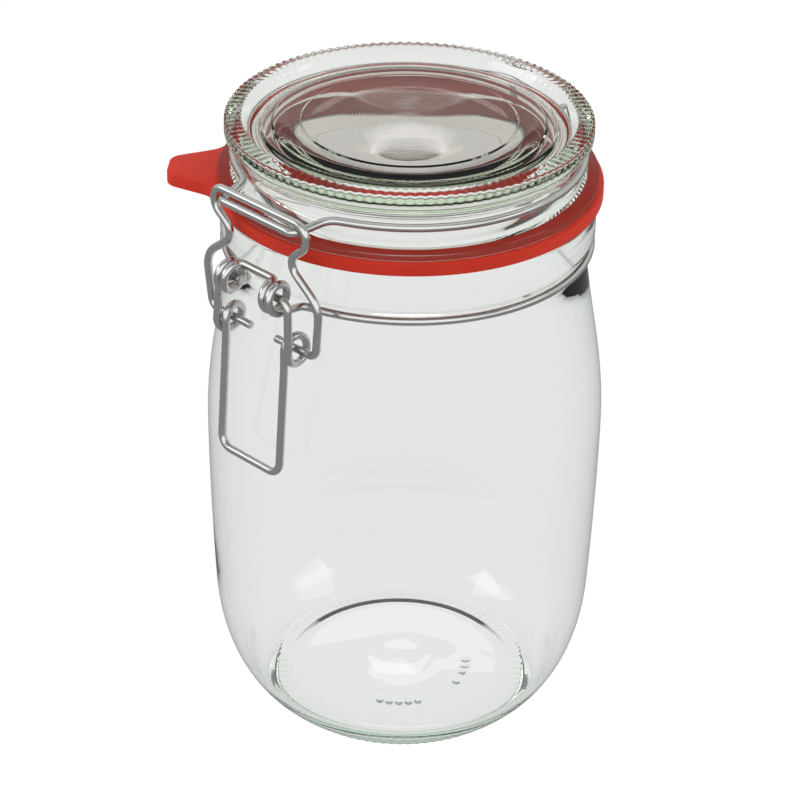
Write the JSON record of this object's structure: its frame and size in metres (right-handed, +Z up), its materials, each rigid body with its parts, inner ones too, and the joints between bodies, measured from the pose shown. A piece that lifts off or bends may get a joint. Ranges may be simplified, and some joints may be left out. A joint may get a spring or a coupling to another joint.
{
  "type": "clip top jar",
  "caption": "Round glass storage jar with a hinged glass lid, a rubber seal with a pull tab and a sprung wire clip that holds the lid shut.",
  "frame": {"origin": "centre of the jar's underside, on the surface that it stands on", "axes": "+Z up along the jar's axis; the clip is at -Y and the hinge at +Y"},
  "size_m": [0.1134, 0.1266, 0.1856],
  "materials": {
    "jar_glass": "clear moulded glass",
    "lid_glass": "clear pressed glass, slightly green where thick",
    "gasket": "matt red rubber",
    "neck_wire": "bright drawn wire",
    "lid_wire": "bright drawn wire",
    "lever": "bright drawn wire",
    "link": "bright drawn wire"
  },
  "bodies": {
    "jar": {"jar_glass": "jar_glass", "neck_wire": "neck_wire"},
    "lid": {"lid_glass": "lid_glass", "lid_wire": "lid_wire", "gasket": "gasket"},
    "lever": {"lever": "lever"},
    "link": {"link": "link"}
  },
  "joints": [
    {"name": "lid_hinge", "type": "hinge", "parent": "jar", "child": "lid", "pos_m": [0, 0.0583, 0.1536], "axis": [-1, 0, 0], "range_deg": [0, 105]},
    {"name": "lever_swing", "type": "hinge", "parent": "jar", "child": "lever", "pos_m": [0, -0.0583, 0.1536], "axis": [-1, 0, 0], "range_deg": [0, 75]},
    {"name": "link_swing", "type": "hinge", "parent": "lever", "child": "link", "pos_m": [0, -0.0548, 0.1384], "axis": [1, 0, 0], "range_deg": [0, 150]}
  ],
  "couplings": [
    {"joint": "lever_swing", "follows": "lid_hinge", "ratio": 0.71428},
    {"joint": "link_swing", "follows": "lid_hinge", "ratio": 1.4286}
  ]
}
